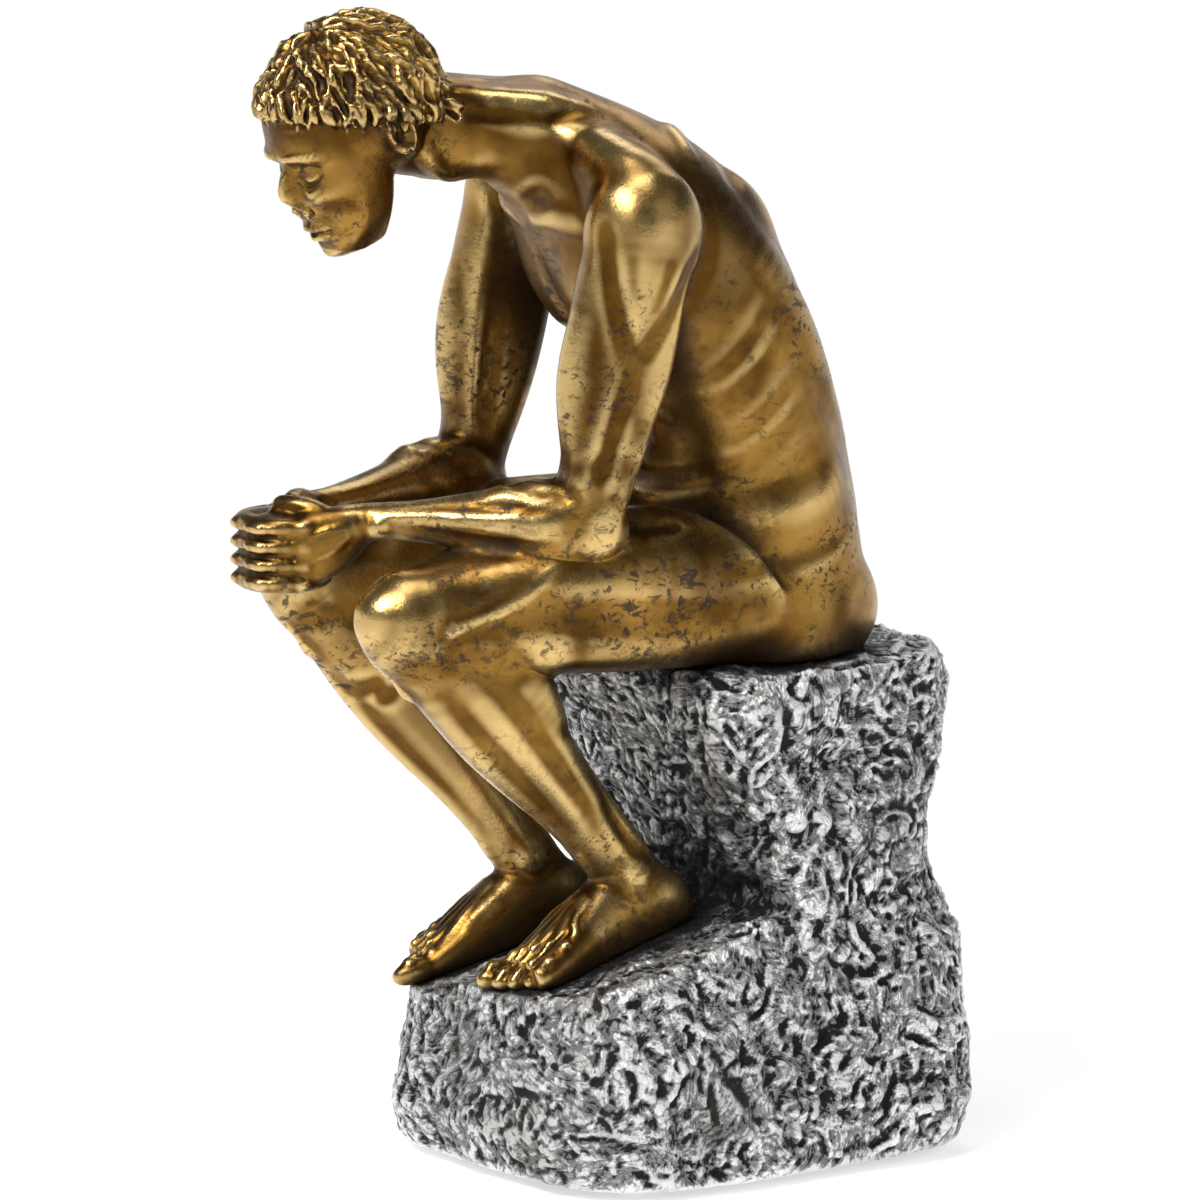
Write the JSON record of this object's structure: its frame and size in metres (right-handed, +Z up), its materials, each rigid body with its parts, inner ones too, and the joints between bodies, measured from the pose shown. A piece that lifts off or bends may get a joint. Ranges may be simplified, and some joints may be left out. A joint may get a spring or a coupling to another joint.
{
  "type": "seated figure ornament",
  "caption": "Pensive figure in antique gold, seated on a rough silver rock with forearms on the thighs and hands joined; a hollow cast base closed by a board on rubber feet.",
  "frame": {"origin": "on the table under the centre of the whole piece's plan box", "axes": "+Z up, the figure faces -Y and its left side is toward +X"},
  "size_m": [0.113, 0.167, 0.2597],
  "materials": {
    "gold_finish": "satin",
    "silver_finish": "satin",
    "board": "matte",
    "rubber": "matte",
    "steel": "satin",
    "brass": "satin"
  },
  "bodies": {
    "root": {"torso": "gold_finish", "head": "gold_finish", "left_arm": "gold_finish", "right_arm": "gold_finish", "hands": "gold_finish", "left_leg": "gold_finish", "right_leg": "gold_finish", "rock_base": "silver_finish", "base_board": "board", "rubber_feet": "rubber", "neck_dowel": "steel", "shoulder_dowels": "steel", "wrist_dowels": "steel", "hip_dowels": "steel", "foot_dowels": "steel", "seat_bolt": "steel", "seat_washer": "steel", "board_screws": "steel", "seat_insert": "brass"}
  },
  "joints": []
}
